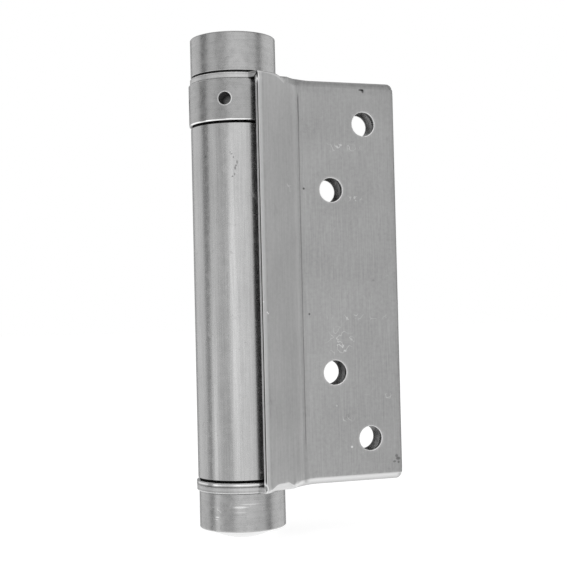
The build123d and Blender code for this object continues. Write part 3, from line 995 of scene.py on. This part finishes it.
    def half_outline(self, ear_r: float, across: np.ndarray, along: np.ndarray,
                     folds: np.ndarray) -> tuple[np.ndarray, np.ndarray]:
        """Gives the blank's outline from the lip's middle, up round the ear, to the free edge's middle.

        Args:
            ear_r: Radius of the ear.
            across: Grid lines across.
            along: Grid lines along, from 0 up.
            folds: Grid lines of the bend, from `last` to `ear_from`.

        Returns:
            The outline's points, and the points one inset inside it that the grids end on.
        """
        lip, neck, inset = self.lip, self.neck, self.inset

        def circle(radius: float, near: float, far: float) -> np.ndarray:
            """Round the ear the long way, from the neck's near side to its far side."""
            turn = np.linspace(-math.asin(-near / radius), -2 * math.pi + math.asin(far / radius), 61)
            return pairs(radius * np.sin(turn), self.pin_p - radius * np.cos(turn))

        rise, fall, down = np.concatenate([along, folds[1:]]), folds[::-1], along[::-1][1:]
        opened = self.half + (fall - self.last) * (self.ear_from - self.half) / (self.ear_from - self.last)
        rest = across[across > neck - inset + 1e-4]
        slid = rest + inset * np.clip(1 - (rest - neck + inset) / 6, 0, 1)
        turn = np.linspace(0, QUARTER, 9)[1:]
        middle = np.array((self.end - inset, self.last))
        corner = middle + inset * pairs(np.sin(turn), np.cos(turn))
        outer = [pairs(lip, rise), circle(ear_r, lip, neck), pairs(neck, opened), pairs(slid, self.half),
                 corner, pairs(self.end, down)]
        inner = [pairs(lip + inset, rise), circle(ear_r - inset, lip + inset, neck - inset),
                 pairs(neck - inset, fall), pairs(rest, self.last), np.broadcast_to(middle, corner.shape),
                 pairs(self.end - inset, down)]
        return np.concatenate(outer), np.concatenate(inner)

    def edge(self, skin: Skin, rim: np.ndarray, rim_in: np.ndarray) -> None:
        """Adds the edge of the sheet all round the blank.

        Shearing rolls the outer face over (a quarter ellipse), leaves a bright cut band, then a rough
        dark groove, and a lighter band that tapers in to the inner face. Along the web's lip the roll
        is wide and the taper is deep, and it carries a burr next to each ear.

        Args:
            skin: Where it goes.
            rim: The blank's outline.
            rim_in: The points one inset inside it.
        """
        s, q = rim[:, :1], np.abs(rim[:, 1:])
        low, lip, in_ear, ends = self.zones(rim)
        grown = ease((s - self.neck + self.inset) / 5.0)

        def choose(*values: np.ndarray | float) -> np.ndarray:
            """Picks one of four values: for the lip, the leaf's ends, the ears or elsewhere."""
            return np.select([lip, ends, in_ear], np.broadcast_arrays(*values[:3], s)[:3], values[3])

        wide = choose(1.25, 0.4 + 1.15 * grown, 0.3, 0.5)
        deep = choose(0.2, 0.2 + 0.55 * grown, np.where(low, 0.32, 0.15), 0.4)
        taper = np.where(lip, 1.0, 0.1) * (1 - 0.7 * ease((q - 46) / 3))
        groove = np.where(lip, 1.0, np.where(in_ear, 0.15, 0.6))
        t = np.linspace(0, QUARTER, 7)
        first, zero = deep / self.sheet, np.zeros_like(s)
        roll_a, roll_w = wide * (np.sin(t) - 1), first * (1 - np.cos(t))
        cut_a = np.concatenate([groove * (-0.02, -0.14, -0.14, -0.03, -0.02), taper * (-0.3, -0.7, -1.3),
                                zero - self.inset], 1)
        cut_w = np.concatenate([first + (0.02, 0.05, 0.25, 0.3), np.maximum(first + 0.35, 0.72),
                                zero + (0.86, 0.95, 1.0, 1.0)], 1)
        burr = (s < self.lip + 0.1) * np.where(low, hump((q - 48.3) / 0.5), hump((q - 47.6) / 0.4))
        roll_a = roll_a - 0.28 * burr
        cut_a[:, :2] -= burr * (0.24, 0.1)
        a = np.concatenate([zero - self.inset, roll_a, cut_a], 1)
        w = np.concatenate([zero, roll_w, cut_w], 1)
        blank = rim[:, None] + (a / self.inset)[..., None] * (rim - rim_in)[:, None]
        # The burr gets a painted highlight, and the bend next to the outer face gets the bend's painted
        # highlight and shade.
        wear_and_light = self.edge_wear_and_light(rim, w, groove) + burr * (w < 0.4) * (a > -0.45)
        self.lay(skin, blank, w, wear_and_light + self.bevel_painted_light(blank[..., 0], blank[..., 1]) * (w < 0.3))

    def zones(self, rim: np.ndarray) -> tuple[np.ndarray, np.ndarray, np.ndarray, np.ndarray]:
        """Tells where each point of the outline is.

        Args:
            rim: The blank's outline.

        Returns:
            Whether it is in the lower half, on the web's lip, in an ear, and at an end of the leaf.
        """
        s, q = rim[:, :1], np.abs(rim[:, 1:])
        in_ear = q > self.half
        lip = np.isclose(s, self.lip) & ~in_ear
        return rim[:, 1:] < 0, lip, in_ear, (s > self.neck - self.inset) & (q > self.last)

    def edge_wear_and_light(self, rim: np.ndarray, w: np.ndarray, groove: np.ndarray) -> np.ndarray:
        """Gives the wear of the sheet's edge: painted highlights on the rolls, dark grooves, painted shade on
        the cut's inner side.

        The roll and the cut each have a row of values from the outer face inwards. The leaf's upper end
        and its free edge get painted shade on their rolls instead. The ears' cut faces get a painted
        highlight, and the upper ear's cut face painted shade at its inner side, next to the collar. Where the
        lip turns into an ear the metal is creased, and a painted highlight and painted shade lie across the
        edge there, aslant at the lower end.

        Args:
            rim: The blank's outline.
            w: Depths, rows by columns.
            groove: How rough the groove is at each point of the outline.

        Returns:
            The wear, rows by columns.
        """
        s, q = rim[:, :1], np.abs(rim[:, 1:])
        low, _, in_ear, ends = self.zones(rim)
        # Painted highlights along the rolls, strongest on the lower end; the upper end and the free edge get
        # painted shade there instead.
        roll = np.where(ends, (0.1, 0.5, 1.0, 0.9, 0.7, 0.45, 0.35, 0.35),
                        (0.0, 0.1, 0.35, 0.5, 0.6, 0.6, 0.5, 0.3))
        roll = np.where(ends & ~low, (0.1, 0.3, 0.4, 0.5, 0.6, 0.7, 0.8, 1.0), roll)
        dull = ~low & ends | (s > self.end - 0.1) & ~ends
        gain = np.where(dull, -0.4, np.where(in_ear & ~ends, 1.5, 1.0))
        # The cut face: a bright band, a dark groove, painted shade at its inner side, and in the ears a
        # painted highlight, with painted shade next to the collar in the upper one.
        cut = groove * (0.3, -0.9, -0.9, 0.3, 0.5, 0.0, -0.4, -0.6, 0.0)
        cut = cut + in_ear * np.where(low, 0.25, (0.35, 0.35, 0.35, 0.35, 0.35, 0.2, -0.8, -1.0, 0.0))
        # Painted highlight on the burr and painted shade on the fold's cut edge, where the lip turns into an
        # ear.
        aslant = hump((q - 50.7 + 2.4 * w) / 0.3) + hump((q - 47.9 + 0.5 * w) / 0.25)
        aslant = 1.6 * aslant - 0.5 * hump((q - 48.6 + w) / 0.3)
        crease_light_and_shade = np.where(low, aslant, 1.3 * hump((q - 47.6) / 0.3) - 1.43 * hump((q - 49.6) / 1.2))
        return np.concatenate([gain * roll, cut], 1) + crease_light_and_shade * (s < self.lip + 0.1) * (w > 0.15)

    def face_marks_and_light(self, s: np.ndarray, p: np.ndarray, w: float) -> np.ndarray:
        """Gives the wear of a face: dark tool line, and painted highlights on the web, along the bend and
        inside by the lip.

        Args:
            s: Places across.
            p: Places along.
            w: 0 for the outer face, 1 for the inner.

        Returns:
            The wear at each place.
        """
        # Painted highlight on the inner face by the lip, so that its reflection in the barrel is lighter.
        if w > 0:
            return 0.8 * (1 - ease((s - self.lip - self.inset) / 4))
        line = self.tool_mark(s, p, 0.13) * (0.6 + 0.4 * ease((p - 37) / 5))
        # Painted highlight on the web and along the concave bend, where shade falls.
        return 0.11 * (1 - ease((s - 5) / 4)) + 0.2 * hump((s - 8.4) / 1.5) - line

    def bevel_painted_light(self, s: np.ndarray, p: np.ndarray) -> np.ndarray:
        """Gives the painted light on the neck's bend: a painted highlight, strongest at the lower end, and
        painted shade on top of the upper fold.

        Args:
            s: Places across.
            p: Places along.

        Returns:
            The wear at each place.
        """
        q = np.abs(p)
        in_fold = ease((q - self.last + 0.1) / 0.3) * (1 - ease((q - self.fold_end) / 0.6))
        # Painted highlight low on the upper fold, turning to painted shade at its top.
        upper = 0.3 - 1.2 * ease((q - 49.7) / 0.6)
        return in_fold * np.where(p < 0, 0.85, upper) * ease((self.neck + 0.6 - s) / 1.6)

    def screw_holes(self, skin: Skin, across: np.ndarray, along: np.ndarray) -> np.ndarray:
        """Adds the four countersunk holes.

        Each hole's rows go from a square of grid lines to its rim, over a small round, through the
        plain bore, out along the cone to the inner face, and back to the same square there.

        Args:
            skin: Where they go.
            across: Grid lines across.
            along: Grid lines along.

        Returns:
            The cells that the holes take out of the grid.
        """
        taken = np.zeros((len(across) - 1, len(along) - 1), bool)
        mid_s, mid_p = (across[1:] + across[:-1]) / 2, (along[1:] + along[:-1]) / 2
        t, rounding = np.linspace(0, QUARTER, 6), 0.22
        rim_r = self.screw_hole + rounding * (1 - np.sin(t))
        rim_w = rounding * (1 - np.cos(t)) / self.sheet
        radii = np.concatenate([[self.screw_hole + 0.8], rim_r,
                                [self.screw_hole, self.sink - 0.05, self.sink + 0.08, self.sink + 0.7]])
        depth = np.concatenate([[0, 0, 0], rim_w, [self.plain_bore / self.sheet, 0.97, 1, 1, 1, 1]])
        # Painted highlights: a bright ring on each hole's rounded rim, and a lighter bore and countersink.
        wear_and_light = np.concatenate([[0, 0, 0, 0.1], np.full(4, 0.9), [0.6, 1.0, 1.0, 0.4, 0, 0, 0]])
        for middle in (np.array((x + self.shift, side * z)) for x, z in self.holes for side in (1, -1)):
            in_s, in_p = np.abs(mid_s - middle[0]) < self.patch, np.abs(mid_p - middle[1]) < self.patch
            taken |= in_s[:, None] & in_p[None, :]
            cols = across[np.abs(across - middle[0]) < self.patch + 1e-4]
            rows = along[np.abs(along - middle[1]) < self.patch + 1e-4]
            square = np.concatenate([pairs(cols, rows[0]), pairs(cols[-1], rows)[1:],
                                     pairs(cols[::-1], rows[-1])[1:], pairs(cols[0], rows[::-1])[1:]])
            rings = middle + radii[:, None, None] * unit(square - middle)
            blank = np.concatenate([square[None], (square + rings[:1]) / 2, rings,
                                    (square + rings[-1:]) / 2, square[None]])
            self.lay(skin, blank, depth[:, None], wear_and_light[:, None])
        return taken

    def ear(self, skin: Skin, ring: np.ndarray) -> None:
        """Adds an ear: level rows from the outline's inset line in to the spindle's hole, both faces.

        Args:
            skin: Where it goes.
            ring: The inset line, closed by the bend's last grid line.
        """
        middle = np.array((0.0, math.copysign(self.pin_p, ring[0, 1])))
        hole = middle + self.spindle_hole * unit(ring - middle)
        t = np.linspace(0, 1, 6)[:, None, None]
        for w in (0.0, 1.0):
            self.lay(skin, ring * (1 - t) + hole * t, w)
        self.lay(skin, np.stack([hole, hole]), np.array([[0.0], [1.0]]))

    def build(self) -> None:
        """Builds the leaf from its grids: holes, faces, folds, edge and ears."""
        skin = Skin()
        across, along = self.lines()
        folds = np.concatenate([np.linspace(self.last, self.fold_end, 21), [self.ear_from]])
        neck = across[across < self.neck - self.inset + 1e-4]
        taken = self.screw_holes(skin, across, along)
        flat = pairs(across[:, None], along)
        # The faces carry painted highlights, and the bend's outer face painted highlight and shade.
        for w in (0.0, 1.0):
            self.lay(skin, flat, w, self.face_marks_and_light(flat[..., 0], flat[..., 1], w), ~taken)
            for side in (1, -1):
                bent = pairs(neck[:, None], side * folds)
                self.lay(skin, bent, w, self.bevel_painted_light(bent[..., 0], bent[..., 1]) * (1 - w))
        mirror, up = np.array((1.0, -1.0)), along[along > -1e-9]
        upper, lower = (self.half_outline(radius, across, up, folds) for radius in self.ear_radius)
        rim, rim_in = (np.concatenate([top, (base * mirror)[::-1]]) for top, base in zip(upper, lower))
        self.edge(skin, rim, rim_in)
        for side, inner in ((1, upper[1]), (-1, lower[1] * mirror)):
            around = inner[np.abs(inner[:, 1]) > self.ear_from - 1e-6]
            self.ear(skin, np.concatenate([around, pairs(neck[::-1], side * self.ear_from)[1:]]))
        skin.build("frame_leaf_sheet", SATIN_SHEET, "frame", "leaf_steel", "frame_leaf")


@dataclass(frozen=True)
class Corner:
    """A corner of a turned profile: radius and level in millimetres, its rounding and its wear, which paints
    highlight or shade.
    """

    radius: float
    level: float
    rounding: float = 0.0
    wear_and_light: float = 0.0


@dataclass
class Turned:
    """A piece turned about the pin: a closed outline with rounded corners, carried round a circle."""

    name: str
    node: str
    corners: tuple[Corner, ...]
    finish: Steel
    plain_wear: float = 0.0
    sides: int = 180

    def outline(self) -> tuple[np.ndarray, np.ndarray]:
        """Gives the outline.

        Each corner becomes an arc that meets both straights, with a guard point just outside each
        end, where the wear is back to that of the plain surface.

        Returns:
            The outline's points, closed, and their wear.
        """
        at = np.array([(c.radius, c.level) for c in self.corners])
        points, wear_and_light = [], []
        for i, corner in enumerate(self.corners):
            if corner.rounding == 0:
                points.append(at[i:i + 1])
                wear_and_light.append([corner.wear_and_light])
                continue
            before, after = unit(at[i - 1] - at[i]), unit(at[(i + 1) % len(at)] - at[i])
            half = math.acos(float(np.dot(before, after))) / 2
            reach = corner.rounding / math.tan(half)
            middle = at[i] + unit(before + after) * corner.rounding / math.sin(half)
            t = np.linspace(0, 1, 8)[:, None]
            chord = at[i] + before * reach * (1 - t) + after * reach * t - middle
            guards = at[i] + np.stack([before, after]) * (reach + 0.06)
            points.append(np.concatenate([guards[:1], middle + corner.rounding * unit(chord), guards[1:]]))
            wear_and_light.append([self.plain_wear, *[corner.wear_and_light] * len(chord), self.plain_wear])
        line, amount = np.concatenate(points), np.concatenate(wear_and_light)
        return np.concatenate([line, line[:1]]), np.append(amount, amount[0])

    def build(self) -> None:
        """Builds the piece: each point of the outline goes round the pin at its own radius and level."""
        line, amount = self.outline()
        turn = np.linspace(0, 2 * math.pi, self.sides + 1)
        across, high = line[:, :1], line[:, 1:] + 0 * turn
        skin = Skin()
        skin.grid(np.stack([across * np.cos(turn), across * np.sin(turn), high], -1),
                  pairs(across * turn, high), amount[:, None])
        skin.build(self.name, self.finish, "frame", "turned_steel", self.node, 40.0)


# The corners' values paint light: painted shade in the upper cap's step against the ear and along its top
# edge, painted highlights on the caps' lower roundings and the ring's corners, and the ring a little lighter
# all over.
TURNED_PIECES = (
    Turned("cap_upper_turned", "top_cap", (
        Corner(0.0, 57.2), Corner(4.02, 57.2), Corner(4.02, 50.62), Corner(9.85, 50.62, wear_and_light=-1.0),
        Corner(9.85, 51.0, wear_and_light=-1.0), Corner(10.56, 51.0, 0.12, 0.3), Corner(10.56, 60.45, 0.3, -0.35),
        Corner(0.0, 60.45)), TURNED_BAR),
    Turned("cap_lower_turned", "bottom_cap", (
        Corner(4.02, -59.65), Corner(10.56, -59.65, 0.3, 0.25), Corner(10.56, -50.5, 0.25, 0.0),
        Corner(4.02, -50.5)), TURNED_BAR),
    Turned("thrust_ring_turned", "thrust_ring", (
        Corner(4.02, -49.0), Corner(11.13, -49.0, 0.12, 0.2), Corner(11.13, -47.9, 0.34, 0.1),
        Corner(4.02, -47.9)), RING_BAR, plain_wear=0.3),
)


@dataclass
class TorsionSpring:
    """The spring: a close helix of square-edged wire, with a straight tang along the pin at each end.

    Its lower tang turns with the door's plug and its upper one with the collar, so it is made in two
    lengths that meet at its middle. Each carries a Twist naming the bodies and levels between which
    it would twist, but is only baked in place.
    """

    coil_radius: float = 7.0
    wire: tuple[float, float] = (2.4, 3.0)
    rounding: float = 0.3
    pitch: float = 3.3
    base: float = -35.0
    top: float = 26.5
    start_turn: float = math.radians(-60)
    tang_width: float = 2.5
    tang_reach: float = 5.7
    steps: int = 430

    def section(self, width: float, height: float) -> np.ndarray:
        """Gives the wire's outline: a rectangle with quarter circles at its corners, closed.

        Args:
            width: Its size across.
            height: Its size the other way.

        Returns:
            Points in two measures from the wire's middle.
        """
        turn = np.radians(np.arange(16) // 4 * 90 + np.tile(np.linspace(0, 90, 4), 4))
        corner = np.array(((1, 1), (-1, 1), (-1, -1), (1, -1)))[np.arange(16) // 4]
        inner = corner * (np.array((width, height)) / 2 - self.rounding)
        points = inner + self.rounding * pairs(np.cos(turn), np.sin(turn))
        return np.concatenate([points, points[:1]])

    def turn_at(self, level: np.ndarray | float) -> np.ndarray | float:
        """Gives the coil's turn about the pin at a level: a full turn for each pitch of rise."""
        return self.start_turn + (level - self.base - self.wire[1] / 2) / self.pitch * 2 * math.pi

    def coil(self, skin: Skin, low: float, high: float) -> None:
        """Adds a length of the helix: the level rises by the pitch each turn. Its ends are closed.

        Args:
            skin: Where it goes.
            low: Level of the wire's middle at its start.
            high: Level of the wire's middle at its end.
        """
        outline = self.section(*self.wire)
        level = np.linspace(low, high, self.steps)[:, None]
        turn, radius = self.turn_at(level), self.coil_radius + outline[None, :, 0]
        points = np.stack([radius * np.cos(turn), radius * np.sin(turn), level + outline[None, :, 1]], -1)
        first, last = (np.broadcast_to(end[:-1].mean(axis=0), (1, *end.shape)) for end in points[[0, -1]])
        skin.grid(np.concatenate([first, points, last]))

    def tang(self, skin: Skin, turn: float, low: float, high: float) -> None:
        """Adds a tang: the wire's outline carried straight along the pin, a little smaller at its ends.

        Args:
            skin: Where it goes.
            turn: Its place round the pin, in radians.
            low: Its lower level.
            high: Its upper level.
        """
        outline = self.section(self.tang_width, self.wire[1])
        size = np.array((0.0, 0.86, 1.0, 1.0, 0.86, 0.0))[:, None]
        level = np.array((low, low, low + 0.3, high - 0.3, high, high))[:, None]
        out, side = self.coil_radius + outline[:, 0] * size, outline[:, 1] * size
        skin.grid(np.stack([out * math.cos(turn) - side * math.sin(turn),
                            out * math.sin(turn) + side * math.cos(turn), level + 0 * out], -1))

    def build(self) -> None:
        """Builds the two lengths."""
        height, middle = self.wire[1], (self.base + self.top) / 2
        first, last = self.base + height / 2, self.top - height / 2
        lower, upper = Skin(), Skin()
        self.coil(lower, first, middle)
        self.tang(lower, self.start_turn, self.base - self.tang_reach, self.base + height)
        self.coil(upper, middle, last)
        self.tang(upper, self.turn_at(last), self.top - height, self.top + self.tang_reach)
        for name, skin, twist in (
                ("spring_lower_length", lower, Twist("door", "frame", self.base + height, middle - 2)),
                ("spring_upper_length", upper, Twist("frame", "collar", middle + 2, self.top - height))):
            skin.build(name, SPRING_WIRE, twist, "spring_steel", "torsion_spring", 40.0)


@dataclass
class Hinge:
    """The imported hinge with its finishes."""

    finishes: dict[str, Steel | Nylon] = field(default_factory=lambda: {
        "door_leaf": ROLLED_BARREL,
        "tension_collar": COLLAR_BAR,
        "spindle": BRIGHT_HEAD,
        "anchor_plug": TURNED_BAR,
        "anchor_pin": TURNED_BAR,
        "collar_bush": BLACK_NYLON,
        "upper_bush": BLACK_NYLON,
        "lower_bush": BLACK_NYLON,
    })

    def dress(self) -> None:
        """Gives each carried-over node its material."""
        for node, finish in self.finishes.items():
            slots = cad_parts[node].data.materials
            slots.clear()
            slots.append(dressed_in(finish))
            log.info("%s: %s", node, finish.name)


def main() -> None:
    """Builds the studio and dresses the hinge."""
    logging.basicConfig(level=logging.INFO, format="%(name)s: %(message)s")
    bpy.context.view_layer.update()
    Studio().build()
    FrameLeaf().build()
    for piece in TURNED_PIECES:
        piece.build()
    TorsionSpring().build()
    Hinge().dress()


if __name__ == "__main__":
    main()
